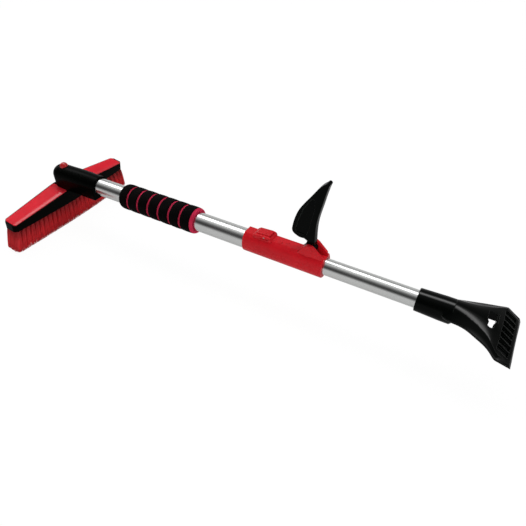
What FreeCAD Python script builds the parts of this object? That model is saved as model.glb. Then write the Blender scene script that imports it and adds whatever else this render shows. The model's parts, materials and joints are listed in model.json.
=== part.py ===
import FreeCAD, Part

# Telescoping snow broom with a swivelling brush head at one end and an ice scraper at the other.
# Units are millimetres. X runs along the tubes from the brush to the scraper blade, Z is up and
# the bristles point down. Every piece is drawn with the origin where the brush swivel axis crosses
# the tube axis. save() then moves it to the frame of the row, whose origin is the middle of the
# tool's bounding box, on the level of the lowest bristle tips.

import math
import os

Vector = FreeCAD.Vector
ROW_ORIGIN = Vector(340.0, 0, -83.6)

# ---- tubes -------------------------------------------------------------------------------------
OUTER_TUBE_R = 14.0
OUTER_TUBE_WALL = 1.2
OUTER_TUBE_START = 22.0
OUTER_TUBE_END = 428.0
INNER_TUBE_R = 11.3
INNER_TUBE_WALL = 1.0
INNER_TUBE_START = 158.0
INNER_TUBE_END = 634.0
INDEX_HOLE_R = 3.0
INDEX_HOLE_PITCH = 50.0
INDEX_HOLE_COUNT = 5
GLIDE_CAP_LENGTH = 12.0
GLIDE_PLUG_LENGTH = 16.0
GLIDE_WALL = 2.0
BUSHING_LENGTH = 24.0
BUSHING_FLANGE = 2.4
FIT_GAP = 0.02          # pieces that are fixed to each other
RUNNING_GAP = 0.06      # pieces that slide or turn on each other

# ---- swivel axis of the brush head -------------------------------------------------------------
TILT_DEG = 10.0         # the head leans so that the bristle tips point away from the handle
TILT_AXIS = Vector(0, 1, 0)

# ---- brush block (its own frame: u across, y along, w up the swivel axis) -----------------------
BLOCK_HALF_LENGTH = 120.0
BLOCK_HALF_WIDTH_MID = 16.9
BLOCK_HALF_WIDTH_END = 12.6
BLOCK_WIDE_HALF_LENGTH = 22.0
BLOCK_CORNER_R = 5.0
BLOCK_BOTTOM_W = -43.5
BLOCK_TOP_MID_W = -19.1
BLOCK_TOP_END_W = -32.0
BLOCK_HUB_HALF_LENGTH = 13.0
BLOCK_HUB_TOP_W = -18.0
BLOCK_HUB_HALF_WIDTH = 15.5
BLOCK_UPRIGHT_R = 2.4
HUB_BORE_R = 9.06
POCKET_R = 11.6
POCKET_ROOF_W = -29.0

# ---- red covers on the two wings of the block ---------------------------------------------------
COVER_INNER_Y = 14.0
COVER_OUTER_Y = 117.4
COVER_HALF_WIDTH_IN = 15.4
COVER_HALF_WIDTH_OUT = 11.6
COVER_TOP_IN_W = -17.9
COVER_TOP_OUT_W = -30.5
COVER_THICKNESS = 2.8
COVER_CORNER_R = 3.0
COVER_EDGE_R = 0.9
COVER_POST_R = 2.0
COVER_POST_DEPTH = 6.0
COVER_POST_Y = (36.0, 90.0)

# ---- bristle tufts -------------------------------------------------------------------------------
TUFT_PITCH = 8.2
TUFTS_PER_ROW = 28
TUFT_ROOT_R = 1.5
TUFT_TIP_R = 3.0
TUFT_DEPTH = 5.0
TUFT_TIP_W = -82.0
TUFT_FLARE = 1.095      # tip distance from the middle over root distance
TUFT_OUTER_ROW = 0.83   # row place as a share of the block's half width
TUFT_INNER_ROW = 0.28
TUFT_INNER_KEEP_OUT = 15.0
TUFT_TIP_DRAW_IN = 0.95

# ---- pivot housing -------------------------------------------------------------------------------
HOUSING_NOSE_X = -3.6
HOUSING_NOSE_R = 16.4
HOUSING_MID_X = 45.0
HOUSING_MID_R = 17.3
HOUSING_END_X = 81.0
HOUSING_END_R = 16.8
HOUSING_HEEL_X = 69.0
HOUSING_HEEL_TOP_Z = -16.9
HOUSING_BOTTOM_Z = -20.5
HOUSING_FOOT_W = -17.6
HOUSING_EDGE_R = 6.0
POST_R = 9.0
POST_END_W = -33.0
BUTTON_POCKET_R = 6.76
BUTTON_POCKET_FLOOR_W = 4.0
HOUSING_SCREW_X = (42.0, 64.0)
SCREW_HEAD_R = 3.4
SCREW_HEAD_HEIGHT = 1.75
SCREW_SHANK_R = 1.7
SCREW_HOLE_R = 1.75
SCREW_SEAT_R = 3.6
SCREW_SEAT_DEPTH = 1.9
SCREW_TIP_Z = -11.5
SCREW_CROSS = (2.2, 0.4, 0.9)         # half length, half width and depth of the driver cross

# ---- brush release button, crown and retaining ring ----------------------------------------------
BUTTON_R = 6.7
BUTTON_UNDERSIDE_W = 12.3
BUTTON_DOME_W = 15.5
STEM_R = 3.0
STEM_FLAT = 2.4
STEM_END_W = -34.0
CROWN_ROOT_R = 8.4
CROWN_TIP_R = 10.9
CROWN_TEETH = 8
CROWN_TOOTH = ((-0.26, CROWN_ROOT_R), (-0.16, CROWN_TIP_R), (0.16, CROWN_TIP_R), (0.26, CROWN_ROOT_R))
CROWN_THICKNESS = 3.2
CROWN_BORE_R = 1.5
CROWN_SINK_R = 3.1
CROWN_SINK_DEPTH = 1.7
STEM_BORE_R = 1.3
STEM_BORE_DEPTH = 12.0
CROWN_SCREW_HEAD_R = 3.0
CROWN_SCREW_HEAD = (0.1, 1.65)        # start and end of the head above the crown's underside
CROWN_SCREW_SHANK_R = 1.25
CROWN_SCREW_REACH = 10.0
CROWN_SCREW_CROSS = (2.0, 0.35, 0.9)
SPRING_WIRE_R = 0.45
SPRING_END_PLAY = 0.05
BUTTON_SPRING_R = 5.2
BUTTON_SPRING_TURNS = 4
WASHER_INNER_R = 9.1
WASHER_OUTER_R = 11.4
WASHER_THICKNESS = 1.4
RING_INNER_R = 7.8
RING_OUTER_R = 10.8
RING_TOP_W = -30.5
RING_THICKNESS = 1.1
RING_GAP_DEG = 60.0

# ---- grip ----------------------------------------------------------------------------------------
GRIP_START = 135.3
GRIP_BAND_PITCH = 19.6
GRIP_BAND_LENGTH = 17.2
GRIP_BAND_COUNT = 7
GRIP_BAND_R = 19.8
GRIP_CORE_R = 18.7
GRIP_RIM_R = 19.4
GRIP_RIM_LENGTH = 4.6
GRIP_RIM_EDGE_R = 3.0
GRIP_EDGE_R = 1.2
GRIP_NOSE_R = 5.0
GRIP_NOSE_LENGTH = 3.0      # the first band reaches down to the tube over this length

# ---- lock collar ---------------------------------------------------------------------------------
COLLAR_START = 357.0
COLLAR_END = 475.0
COLLAR_DECK_Z = 17.2
COLLAR_DECK_HALF = 7.0
COLLAR_SHOULDER = (11.5, 13.4)
COLLAR_SIDE = 15.8
COLLAR_BOTTOM_Z = -16.2
COLLAR_BORE_STEP_X = 430.6
COLLAR_SMALL_BORE_R = 11.6
TURRET_HALF_WIDTH = 9.6
TURRET_FLOOR_Z = 14.9
TURRET_OUTLINE = ((371, 8), (371, 18.2), (374.5, 20.4), (393, 21.6), (397.5, 20.8), (399.6, 18.2), (399.6, 8))
TURRET_EDGE_R = 1.6
TURRET_RECESS = ((382, 16.2), (394, 16.6), (395.6, 19.2), (391.5, 19.9), (384, 19.3))
TURRET_RECESS_DEPTH = 0.9
COLLAR_FLANK = (14.9, 6.5)  # point half way round the side of the collar
COLLAR_EDGE_R = 1.5
ROCKER_SLOT = (374.0, 397.0)
ROCKER_SLOT_HALF = 6.2
EAR_INNER_Y = 6.0
EAR_OUTER_Y = 9.8
EAR_BOSS_R = 8.2
EAR_BOSS_HEIGHT = 0.6
EAR_CORNER_R = 2.6
EAR_OUTLINE = (
    (438.5, 8),
    (438.5, 15.5),
    (441.4, 18.9),
    (443.2, 22.6),
    (445.6, 26.7),
    (448.4, 29.8),
    (451.6, 31.4),
    (457.5, 31.2),
    (461, 28.8),
    (473, 17.4),
    (473, 8),
)
LEVER_SLOT_START = 441.0
LEVER_FLOOR_Z = 14.2
LEVER_FLOOR_BREAK_X = 462.5
LEVER_FLOOR_END_Z = 12.7
COLLAR_RIVET_X = (366.0, 420.0)
RIVET_R = 1.6
RIVET_HEAD_R = 3.0
RIVET_HEAD_HEIGHT = 0.9
RIVET_HEAD_EDGE_R = 0.6
COLLAR_RIVET_TIP_Z = (-12.9, -14.05)
DECK_BAR_X = (409.5, 413.5)   # two small raised bars on the deck
DECK_BAR_Y = (-6.4, -3.4)
DECK_BAR_WIDTH = 1.2
DECK_BAR_HEIGHT = 0.5

# ---- rocker lock ---------------------------------------------------------------------------------
ROCKER_PIVOT = (388.0, 18.8)
ROCKER_PIN_R = 1.25
ROCKER_HALF_WIDTH = 6.0
ROCKER_RIBS = ((388.6, 22.9), (390.4, 23.2), (392.2, 23.5))
ROCKER_RIB_R = 0.5
ROCKER_RIB_HALF = 4.4
ROCKER_EDGE_R = 1.1
ROCKER_OUTLINE = (
    (374.5, 17.3),
    (374.5, 20.6),
    (376.5, 22.2),
    (386, 22.5),
    (392.5, 23.7),
    (395.6, 22.9),
    (396.2, 17.2),
    (390, 15.7),
    (386, 15.7),
)
LOCK_PIN_X = 380.0
LOCK_PIN_R = 1.98
LOCK_PIN_BOTTOM_Z = 11.5
LOCK_PIN_TOP_Z = 20.4
LOCK_HOLE_X = 379.6
LOCK_HOLE_R = 3.3
LOCK_PIN_CHAMFER = 0.5
ROCKER_SPRING_X = 392.6
ROCKER_SPRING_R = 2.05
ROCKER_SPRING_TURNS = 3
ROCKER_SPRING_TOP_Z = 19.6
ROCKER_SPRING_SEAT_R = 2.7
ROCKER_SPRING_SEAT_Z = 19.7
PIN_PLAY = 0.05         # a lever or rocker bored for its pin

# ---- cam lever and clamp shoe --------------------------------------------------------------------
LEVER_PIVOT = (452.0, 22.0)
LEVER_PIN_R = 2.5
LEVER_PIN_DEPTH = 9.0     # the pin ends inside the near ear
LEVER_PIN_HEAD_R = 4.2
LEVER_PIN_HEAD_HEIGHT = 1.1
LEVER_HALF_WIDTH = 5.0
LEVER_WEB_HALF = 3.6
CAM_R = 8.51
CAM_ECCENTRICITY = 0.5
SHOE_START = 443.0
SHOE_END = 461.0
SHOE_HALF_WIDTH = 5.9
SHOE_TOP_Z = 13.4
SHOE_ARC_R = 11.38
SHOE_LIFT = 0.54
SHOE_BOTTOM_Z = 8.0
SHOE_GAP = 0.06
LEVER_EDGE_R = 1.1
LEVER_PANEL_CORNER_R = 2.5

# ---- ice scraper ---------------------------------------------------------------------------------
SOCKET_START = 595.0
SOCKET_START_R = 14.5
SOCKET_MID_X = 626.0
SOCKET_MID_R = 15.6
SOCKET_END = 640.0
SOCKET_BORE_END = 634.5
SCRAPER_RIVET_X = (607.0, 623.0)
SCRAPER_RIVET_SEAT_Z = -14.3
SCRAPER_RIVET_TIP_Z = -9.6
BLADE_EDGE_X = 710.0
BLADE_HALF_WIDTH = 40.0
RIDGE_COUNT = 7
RIDGE_PITCH = 9.6
RIDGE_HALF_WIDTH = 4.0
RIDGE_FLOOR_START = (690.5, -1.1)
RIDGE_FLOOR_END = (704.5, -10.1)
HANG_HOLE_X = 678.0
HANG_HOLE_R = 3.8
HANG_HOLE_Y = -8.6
HANG_NECK_HALF = 2.55
HANG_WINDOW_HALF = 4.8
HANG_WINDOW_END_Y = 13.6
HANG_RIM = 2.2
HANG_RIM_BOTTOM_Z = -4.0


# ---- small building blocks -----------------------------------------------------------------------
def rod(radius, start, end, y=0.0, z=0.0):
    """A solid cylinder along X."""
    return Part.makeCylinder(radius, end - start, Vector(start, y, z), Vector(1, 0, 0))


def post(radius, bottom, top, x=0.0, y=0.0):
    """A solid cylinder along Z."""
    return Part.makeCylinder(radius, top - bottom, Vector(x, y, bottom), Vector(0, 0, 1))


def cross_pin(radius, start, end, x, z):
    """A solid cylinder along Y."""
    return Part.makeCylinder(radius, end - start, Vector(x, start, z), Vector(0, 1, 0))


def pipe(outer, inner, start, end):
    return rod(outer, start, end).cut(rod(inner, start - 1, end + 1))


def ring(outer, inner, bottom, top):
    return post(outer, bottom, top).cut(post(inner, bottom - 1, top + 1))


def block(x_range, y_range, z_range):
    size = [high - low for low, high in (x_range, y_range, z_range)]
    return Part.makeBox(*size, Vector(x_range[0], y_range[0], z_range[0]))


def closed_face(points):
    return Part.Face(Part.makePolygon(list(points) + [points[0]]))


def side_plate(outline, y_start, y_end):
    """An outline of (x, z) points, extruded along Y."""
    face = closed_face([Vector(x, y_start, z) for x, z in outline])
    return face.extrude(Vector(0, y_end - y_start, 0))


def plan_plate(outline, bottom, top):
    """An outline of (x, y) points, extruded along Z."""
    face = closed_face([Vector(x, y, bottom) for x, y in outline])
    return face.extrude(Vector(0, 0, top - bottom))


def turned(profile):
    """A profile of (x, radius) points, turned about the tube axis."""
    face = closed_face([Vector(x, 0, r) for x, r in profile])
    return face.revolve(Vector(0, 0, 0), Vector(1, 0, 0), 360)


def curve(points, start_tangent=None, end_tangent=None):
    """A smooth edge through the points."""
    spline = Part.BSplineCurve()
    if start_tangent is None:
        spline.interpolate(points)
    else:
        spline.interpolate(Points=points, InitialTangent=start_tangent, FinalTangent=end_tangent)
    return spline.toShape()


def line(start, end):
    return Part.LineSegment(start, end).toShape()


def arc(start, middle, end):
    return Part.Arc(start, middle, end).toShape()


def tilted(shape):
    """Leans a shape built along the vertical onto the swivel axis."""
    leaning = shape.copy()
    leaning.rotate(Vector(0, 0, 0), TILT_AXIS, TILT_DEG)
    return leaning


def rounded(shape, radius, wanted):
    """Rounds the edges whose middle point and direction satisfy wanted(middle, direction)."""
    edges = []
    for edge in shape.Edges:
        if edge.Degenerated:
            continue
        middle = edge.valueAt((edge.FirstParameter + edge.LastParameter) / 2)
        direction = edge.tangentAt((edge.FirstParameter + edge.LastParameter) / 2)
        if wanted(middle, direction):
            edges.append(edge)
    return shape.makeFillet(radius, edges)


def coil(mean_radius, wire_radius, height, turns):
    """A coil spring standing on Z = 0."""
    path = Part.makeHelix(height / turns, height, mean_radius)
    start = Vector(mean_radius, 0, 0)
    section = Part.Wire(Part.makeCircle(wire_radius, start, Vector(0, 1, 0)))
    return Part.Wire(path).makePipeShell([section], True, True)


def save(name, *solids):
    """Writes the solids of one node in the frame of the row."""
    moved = [solid.translated(-ROW_ORIGIN) for solid in solids]
    shape = moved[0] if len(moved) == 1 else Part.makeCompound(moved)
    shape.exportStep("parts/" + name + ".step")


# ---- tubes ---------------------------------------------------------------------------------------
def outer_tube():
    tube = pipe(OUTER_TUBE_R, OUTER_TUBE_R - OUTER_TUBE_WALL, OUTER_TUBE_START, OUTER_TUBE_END)
    tube = tube.cut(post(LOCK_HOLE_R, 5, 20, LOCK_HOLE_X))
    for x in HOUSING_SCREW_X + COLLAR_RIVET_X[:1]:
        tube = tube.cut(post(SCREW_HOLE_R, -20, -5, x))
    return tube


def inner_tube():
    tube = pipe(INNER_TUBE_R, INNER_TUBE_R - INNER_TUBE_WALL, INNER_TUBE_START, INNER_TUBE_END)
    for step in range(INDEX_HOLE_COUNT):
        tube = tube.cut(post(INDEX_HOLE_R, 5, 20, LOCK_HOLE_X - step * INDEX_HOLE_PITCH))
    for x in SCRAPER_RIVET_X:
        tube = tube.cut(post(RIVET_R + RUNNING_GAP, -20, -5, x))
    return tube


def tube_glide():
    """Plug on the hidden end of the inner tube, which centres it in the outer tube."""
    cap_r = OUTER_TUBE_R - OUTER_TUBE_WALL - RUNNING_GAP
    plug_r = INNER_TUBE_R - INNER_TUBE_WALL - FIT_GAP
    cap_start = INNER_TUBE_START - GLIDE_CAP_LENGTH
    plug_end = INNER_TUBE_START + GLIDE_PLUG_LENGTH
    cap = rod(cap_r, cap_start, INNER_TUBE_START)
    plug = rod(plug_r, INNER_TUBE_START - 1, plug_end)
    hollow = rod(plug_r - GLIDE_WALL, cap_start - 1, plug_end + 1)
    return cap.fuse(plug).cut(hollow).removeSplitter()


def tube_bushing():
    """Flanged liner in the open end of the outer tube, in which the inner tube slides."""
    bore = INNER_TUBE_R + RUNNING_GAP
    sleeve_r = OUTER_TUBE_R - OUTER_TUBE_WALL - FIT_GAP
    sleeve = pipe(sleeve_r, bore, OUTER_TUBE_END - BUSHING_LENGTH, OUTER_TUBE_END)
    flange = pipe(OUTER_TUBE_R, bore, OUTER_TUBE_END + FIT_GAP, OUTER_TUBE_END + BUSHING_FLANGE)
    neck = pipe(sleeve_r, bore, OUTER_TUBE_END - 1, OUTER_TUBE_END + 1)
    return sleeve.fuse([flange, neck]).removeSplitter()


# ---- brush head ----------------------------------------------------------------------------------
def wing_outline(half_width_mid, half_width_end, wide_half_length, half_length, corner):
    """Half of a symmetrical plan outline as (u, y) corner points, then mirrored."""
    quarter = [
        (half_width_mid, wide_half_length),
        (half_width_end, half_length - corner),
        (half_width_end - corner, half_length),
    ]
    left = [(-u, y) for u, y in reversed(quarter)]
    front = quarter + left
    back = [(-u, -y) for u, y in front]
    return front + back


def block_half_width(y):
    """Half width of the brush block at a distance y from its middle."""
    if abs(y) <= BLOCK_WIDE_HALF_LENGTH:
        return BLOCK_HALF_WIDTH_MID
    share = (abs(y) - BLOCK_WIDE_HALF_LENGTH) / (BLOCK_HALF_LENGTH - BLOCK_WIDE_HALF_LENGTH)
    return BLOCK_HALF_WIDTH_MID + share * (BLOCK_HALF_WIDTH_END - BLOCK_HALF_WIDTH_MID)


def is_upright(direction):
    return abs(direction.z) > 0.99


def is_block_corner(middle, direction):
    """Upright edges at the two ends of the block."""
    return is_upright(direction) and abs(middle.y) > 100


def gable(top_mid, top_end, half_length, bottom):
    """Side outline of the block: highest at the hub and falling to both ends."""
    outline = [
        (-half_length, bottom),
        (half_length, bottom),
        (half_length, top_end),
        (BLOCK_HUB_HALF_LENGTH, top_mid),
        (-BLOCK_HUB_HALF_LENGTH, top_mid),
        (-half_length, top_end),
    ]
    face = closed_face([Vector(-30, y, z) for y, z in outline])
    return face.extrude(Vector(60, 0, 0))


def cover_slab(side, gap, thickness):
    """Sloping slab under one wing cover. side is -1 or 1, gap widens it all round."""
    inner = COVER_INNER_Y - gap
    outer = COVER_OUTER_Y + gap
    plan = [
        (COVER_HALF_WIDTH_IN + gap, side * inner),
        (COVER_HALF_WIDTH_OUT + gap, side * outer),
        (-COVER_HALF_WIDTH_OUT - gap, side * outer),
        (-COVER_HALF_WIDTH_IN - gap, side * inner),
    ]
    prism = plan_plate(plan, -60, 0)
    prism = rounded(prism, COVER_CORNER_R + gap, lambda middle, direction: is_upright(direction))
    slope = [
        Vector(-30, side * (inner - 1), COVER_TOP_IN_W),
        Vector(-30, side * (outer + 1), COVER_TOP_OUT_W),
        Vector(-30, side * (outer + 1), COVER_TOP_OUT_W - thickness),
        Vector(-30, side * (inner - 1), COVER_TOP_IN_W - thickness),
    ]
    slab = closed_face(slope).extrude(Vector(60, 0, 0))
    return prism.common(slab)


def wing_cover(side):
    slab = cover_slab(side, 0.0, COVER_THICKNESS)
    top = max(slab.Faces, key=lambda face: face.CenterOfMass.z)
    cover = slab.makeFillet(COVER_EDGE_R, top.Edges)
    slope = (COVER_TOP_OUT_W - COVER_TOP_IN_W) / (COVER_OUTER_Y - COVER_INNER_Y)
    for y in COVER_POST_Y:
        underside = COVER_TOP_IN_W + slope * (y - COVER_INNER_Y) - COVER_THICKNESS
        stub = post(COVER_POST_R, underside - COVER_POST_DEPTH, underside + 5, 0, side * y)
        cover = cover.fuse(stub.cut(above_cover(side)))
    return tilted(cover.removeSplitter())


def above_cover(side):
    """Everything above the middle of one cover's thickness."""
    middle_in = COVER_TOP_IN_W - COVER_THICKNESS / 2
    middle_out = COVER_TOP_OUT_W - COVER_THICKNESS / 2
    corners = [
        Vector(-30, side * COVER_INNER_Y, middle_in),
        Vector(-30, side * COVER_OUTER_Y, middle_out),
        Vector(-30, side * COVER_OUTER_Y, 20),
        Vector(-30, side * COVER_INNER_Y, 20),
    ]
    return closed_face(corners).extrude(Vector(60, 0, 0))


def tuft_places():
    """Root and tip of every tuft as (root u, root y, tip u, tip y)."""
    places = []
    for index in range(TUFTS_PER_ROW):
        y = (index - (TUFTS_PER_ROW - 1) / 2) * TUFT_PITCH
        for row in (-TUFT_OUTER_ROW, -TUFT_INNER_ROW, TUFT_INNER_ROW, TUFT_OUTER_ROW):
            if abs(row) < 0.5 and abs(y) < TUFT_INNER_KEEP_OUT:
                continue
            u = row * block_half_width(y)
            places.append((u, y, u * TUFT_TIP_DRAW_IN, y * TUFT_FLARE))
    return places


def brush_block():
    plan = wing_outline(
        BLOCK_HALF_WIDTH_MID,
        BLOCK_HALF_WIDTH_END,
        BLOCK_WIDE_HALF_LENGTH,
        BLOCK_HALF_LENGTH,
        BLOCK_CORNER_R,
    )
    prism = plan_plate(plan, -60, 0)
    prism = rounded(prism, BLOCK_UPRIGHT_R, is_block_corner)
    body = prism.common(gable(BLOCK_TOP_MID_W, BLOCK_TOP_END_W, BLOCK_HALF_LENGTH + 5, BLOCK_BOTTOM_W))
    hub = block(
        (-BLOCK_HUB_HALF_WIDTH, BLOCK_HUB_HALF_WIDTH),
        (-BLOCK_HUB_HALF_LENGTH, BLOCK_HUB_HALF_LENGTH),
        (BLOCK_BOTTOM_W + 3, BLOCK_HUB_TOP_W),
    )
    body = body.fuse(hub)
    for side in (-1, 1):
        body = body.cut(cover_slab(side, FIT_GAP, COVER_THICKNESS + FIT_GAP))
    body = body.cut(post(HUB_BORE_R, -60, 0)).cut(post(POCKET_R, -60, POCKET_ROOF_W))
    holes = []
    for y in COVER_POST_Y:
        holes += [post(COVER_POST_R + FIT_GAP, -41, -20, 0, side * y) for side in (-1, 1)]
    for u, y, tip_u, tip_y in tuft_places():
        holes.append(post(TUFT_ROOT_R, BLOCK_BOTTOM_W - 1, BLOCK_BOTTOM_W + TUFT_DEPTH, u, y))
    return tilted(body.cut(holes).removeSplitter())


def bristle_tufts():
    """Each tuft is a bundle of bristles, standing in its own hole and spreading to its tip."""
    tufts = []
    for u, y, tip_u, tip_y in tuft_places():
        root = post(TUFT_ROOT_R, BLOCK_BOTTOM_W, BLOCK_BOTTOM_W + TUFT_DEPTH, u, y)
        start = Part.Wire(Part.makeCircle(TUFT_ROOT_R, Vector(u, y, BLOCK_BOTTOM_W)))
        end = Part.Wire(Part.makeCircle(TUFT_TIP_R, Vector(tip_u, tip_y, TUFT_TIP_W)))
        bundle = Part.makeLoft([start, end], True, True)
        tufts.append(tilted(root.fuse(bundle).removeSplitter()))
    return tufts


def thrust_washer():
    top = POCKET_ROOF_W - FIT_GAP
    return tilted(ring(WASHER_OUTER_R, WASHER_INNER_R, top - WASHER_THICKNESS, top))


def retaining_ring():
    """Open spring ring in the groove of the swivel post. It holds the head on."""
    whole = ring(RING_OUTER_R, RING_INNER_R, RING_TOP_W - RING_THICKNESS, RING_TOP_W)
    reach = 2 * RING_OUTER_R
    spread = reach * math.tan(math.radians(RING_GAP_DEG / 2))
    mouth = plan_plate([(0, 0), (reach, -spread), (reach, spread)], -40, -20)
    return tilted(whole.cut(mouth))


def flatted_rod(radius, half_flat, bottom, top):
    flat = block((-radius - 1, radius + 1), (-half_flat, half_flat), (bottom, top))
    return post(radius, bottom, top).common(flat)


def brush_button():
    """Red dome with a flatted stem that reaches down through the swivel post."""
    dome = Part.makeSphere(BUTTON_R, Vector(0, 0, BUTTON_DOME_W))
    dome = dome.cut(post(BUTTON_R + 1, BUTTON_DOME_W - 10, BUTTON_DOME_W))
    skirt = post(BUTTON_R, BUTTON_UNDERSIDE_W, BUTTON_DOME_W)
    stem = flatted_rod(STEM_R, STEM_FLAT, STEM_END_W, BUTTON_UNDERSIDE_W + 1)
    button = skirt.fuse([dome, stem]).removeSplitter()
    return tilted(button.cut(post(STEM_BORE_R, STEM_END_W - 1, STEM_END_W + STEM_BORE_DEPTH)))


def lock_crown():
    """Toothed disc on the end of the button stem."""
    points = []
    for tooth in range(CROWN_TEETH):
        centre = 2 * math.pi * tooth / CROWN_TEETH
        for offset, radius in CROWN_TOOTH:
            points.append((radius * math.cos(centre + offset), radius * math.sin(centre + offset)))
    top = STEM_END_W - FIT_GAP
    disc = plan_plate(points, top - CROWN_THICKNESS, top)
    disc = disc.cut(post(CROWN_BORE_R, top - 10, top + 1))
    return tilted(disc.cut(post(CROWN_SINK_R, top - 10, top - CROWN_THICKNESS + CROWN_SINK_DEPTH)))


def crown_screw():
    """Screw that holds the crown to the stem, its head sunk into the crown."""
    bottom = STEM_END_W - FIT_GAP - CROWN_THICKNESS
    head_start, head_end = CROWN_SCREW_HEAD
    head = post(CROWN_SCREW_HEAD_R, bottom + head_start, bottom + head_end)
    shank = post(CROWN_SCREW_SHANK_R, bottom + 1, STEM_END_W + CROWN_SCREW_REACH)
    cross = driver_cross(CROWN_SCREW_CROSS, bottom)
    return tilted(head.fuse(shank).cut(cross).removeSplitter())


def driver_cross(size, head_bottom, x=0.0):
    """Cross recess in the underside of a screw head. size is half length, half width and depth."""
    long, wide, deep = size
    levels = (head_bottom - 1, head_bottom + deep)
    lengthwise = block((x - long, x + long), (-wide, wide), levels)
    return lengthwise.fuse(block((x - wide, x + wide), (-long, long), levels))


def button_spring():
    end = SPRING_WIRE_R + SPRING_END_PLAY
    height = BUTTON_UNDERSIDE_W - BUTTON_POCKET_FLOOR_W - 2 * end
    spring = coil(BUTTON_SPRING_R, SPRING_WIRE_R, height, BUTTON_SPRING_TURNS)
    spring.translate(Vector(0, 0, BUTTON_POCKET_FLOOR_W + end))
    return tilted(spring)


# ---- pivot housing -------------------------------------------------------------------------------
def housing_edge(to_point):
    """Edges of the housing's outline from the nose to the tube end, placed by to_point(x, r)."""
    corner = HOUSING_NOSE_R * math.cos(math.pi / 4)
    shoulder = to_point(HOUSING_NOSE_X, HOUSING_NOSE_R)
    nose = arc(
        to_point(HOUSING_NOSE_X - HOUSING_NOSE_R, 0),
        to_point(HOUSING_NOSE_X - corner, corner),
        shoulder,
    )
    along = to_point(1, 0) - to_point(0, 0)
    middle = to_point(HOUSING_MID_X, HOUSING_MID_R)
    end = to_point(HOUSING_END_X + 2, HOUSING_END_R)
    return [nose, curve([shoulder, middle, end], along, along)]


def housing_shell():
    """Round-topped, straight-sided body of the housing, before the bores."""
    end_x = HOUSING_END_X + 2
    far = housing_edge(lambda x, r: Vector(x, r, 0))
    near = housing_edge(lambda x, r: Vector(x, -r, 0))
    far_end = line(Vector(end_x, HOUSING_END_R, 0), Vector(end_x, 0, 0))
    near_end = line(Vector(end_x, 0, 0), Vector(end_x, -HOUSING_END_R, 0))
    axis_line = line(Vector(end_x, 0, 0), Vector(HOUSING_NOSE_X - HOUSING_NOSE_R, 0, 0))
    half_plan = Part.Face(Part.Wire(far + [far_end, axis_line]))
    upper = half_plan.revolve(Vector(0, 0, 0), Vector(1, 0, 0), 180)
    plan = Part.Face(Part.Wire(Part.__sortEdges__(near + far + [far_end, near_end])))
    lower = plan.extrude(Vector(0, 0, -30))
    return upper.fuse(lower)


def housing_side_outline():
    """Side view of the housing: its foot lies on the swivel plane, its heel runs under the tube."""
    tilt = math.radians(TILT_DEG)
    front_x = -25
    foot_front_z = (HOUSING_FOOT_W - front_x * math.sin(tilt)) / math.cos(tilt)
    foot_end_x = (HOUSING_FOOT_W - HOUSING_BOTTOM_Z * math.cos(tilt)) / math.sin(tilt)
    return [
        (front_x, foot_front_z),
        (foot_end_x, HOUSING_BOTTOM_Z),
        (HOUSING_HEEL_X, HOUSING_BOTTOM_Z),
        (HOUSING_END_X, HOUSING_HEEL_TOP_Z),
        (HOUSING_END_X, 30),
        (front_x, 30),
    ]


def pivot_housing():
    shell = housing_shell().common(side_plate(housing_side_outline(), -30, 30)).removeSplitter()
    shell = shell.common(housing_keel())
    swivel_post = tilted(post(POST_R, POST_END_W, HOUSING_FOOT_W + 3))
    shell = shell.fuse(swivel_post)
    stem_hole = flatted_rod(STEM_R + RUNNING_GAP, STEM_FLAT + RUNNING_GAP, -50, BUTTON_POCKET_FLOOR_W + 1)
    groove_bottom = RING_TOP_W - RING_THICKNESS - RUNNING_GAP
    groove = ring(POST_R + 1, RING_INNER_R - FIT_GAP, groove_bottom, RING_TOP_W + RUNNING_GAP)
    bores = [
        rod(OUTER_TUBE_R + FIT_GAP, OUTER_TUBE_START, HOUSING_END_X + 5),
        tilted(post(BUTTON_POCKET_R, BUTTON_POCKET_FLOOR_W, 40)),
        tilted(stem_hole),
        tilted(groove),
    ]
    for x in HOUSING_SCREW_X:
        bores.append(post(SCREW_HOLE_R, -30, -5, x))
        bores.append(post(SCREW_SEAT_R, -30, HOUSING_BOTTOM_Z + SCREW_SEAT_DEPTH, x))
    return shell.cut(bores).removeSplitter()


def housing_keel():
    """Bar along X with two rounded lower edges, which rounds the underside of the housing."""
    side = HOUSING_MID_R + 0.1
    low = HOUSING_BOTTOM_Z
    r = HOUSING_EDGE_R
    mid = r * (1 - math.cos(math.pi / 4))

    def at(y, z):
        return Vector(-30, y, z)

    edges = [
        line(at(-side, 40), at(-side, low + r)),
        arc(at(-side, low + r), at(-side + mid, low + mid), at(-side + r, low)),
        line(at(-side + r, low), at(side - r, low)),
        arc(at(side - r, low), at(side - mid, low + mid), at(side, low + r)),
        line(at(side, low + r), at(side, 40)),
        line(at(side, 40), at(-side, 40)),
    ]
    return Part.Face(Part.Wire(edges)).extrude(Vector(140, 0, 0))


def pan_screw(x, head_bottom):
    """Pan head screw driven upward from below at x."""
    head = post(SCREW_HEAD_R, head_bottom, head_bottom + SCREW_HEAD_HEIGHT, x)
    shank = post(SCREW_SHANK_R, head_bottom, SCREW_TIP_Z, x)
    return head.fuse(shank).cut(driver_cross(SCREW_CROSS, head_bottom, x)).removeSplitter()


def housing_screws():
    return [pan_screw(x, HOUSING_BOTTOM_Z + 0.1) for x in HOUSING_SCREW_X]


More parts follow.
